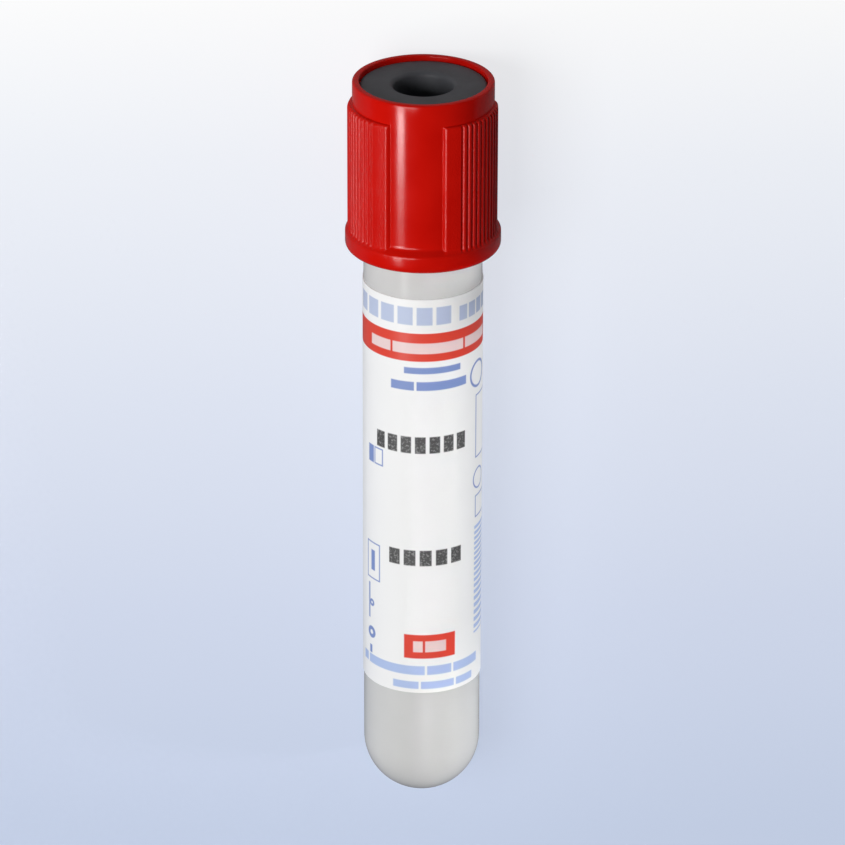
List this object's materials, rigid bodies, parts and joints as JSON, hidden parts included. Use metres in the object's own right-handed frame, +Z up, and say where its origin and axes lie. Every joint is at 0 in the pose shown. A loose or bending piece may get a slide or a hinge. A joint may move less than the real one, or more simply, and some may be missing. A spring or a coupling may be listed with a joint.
{
  "type": "blood collection tube",
  "caption": "Evacuated blood collection tube with a round bottom, a wrap-round label and a rubber stopper held in a pull-off cap with ribbed grip pads.",
  "frame": {"origin": "bottom centre of the box around the lying part, on the floor that it rests on", "axes": "+Y along the tube from its round end to the cap, which the rest pose lifts by 1.9 degrees; +Z up out of the floor, through the front of the tube; +X to the right as one reads the label with the cap on top"},
  "size_m": [0.017, 0.086, 0.017],
  "materials": {
    "tube_plastic": "clear moulded plastic, slightly milky",
    "label_paper": "white coated paper with a red band and plain blue marks",
    "stopper_rubber": "dark grey, satin",
    "cap_plastic": "red, glossy moulded plastic"
  },
  "bodies": {
    "tube": {"tube": "tube_plastic", "label": "label_paper"},
    "stopper": {"stopper": "stopper_rubber"},
    "cap": {"cap": "cap_plastic"}
  },
  "joints": [
    {"name": "closure_pull", "type": "slide", "parent": "tube", "child": "stopper", "axis": [0, 0.9995, 0.0329], "range_m": [0, 0.025]},
    {"name": "cap_twist", "type": "hinge", "parent": "stopper", "child": "cap", "pos_m": [0, 0.04226, 0.00909], "axis": [0, 0.9995, 0.0329], "continuous": true}
  ]
}
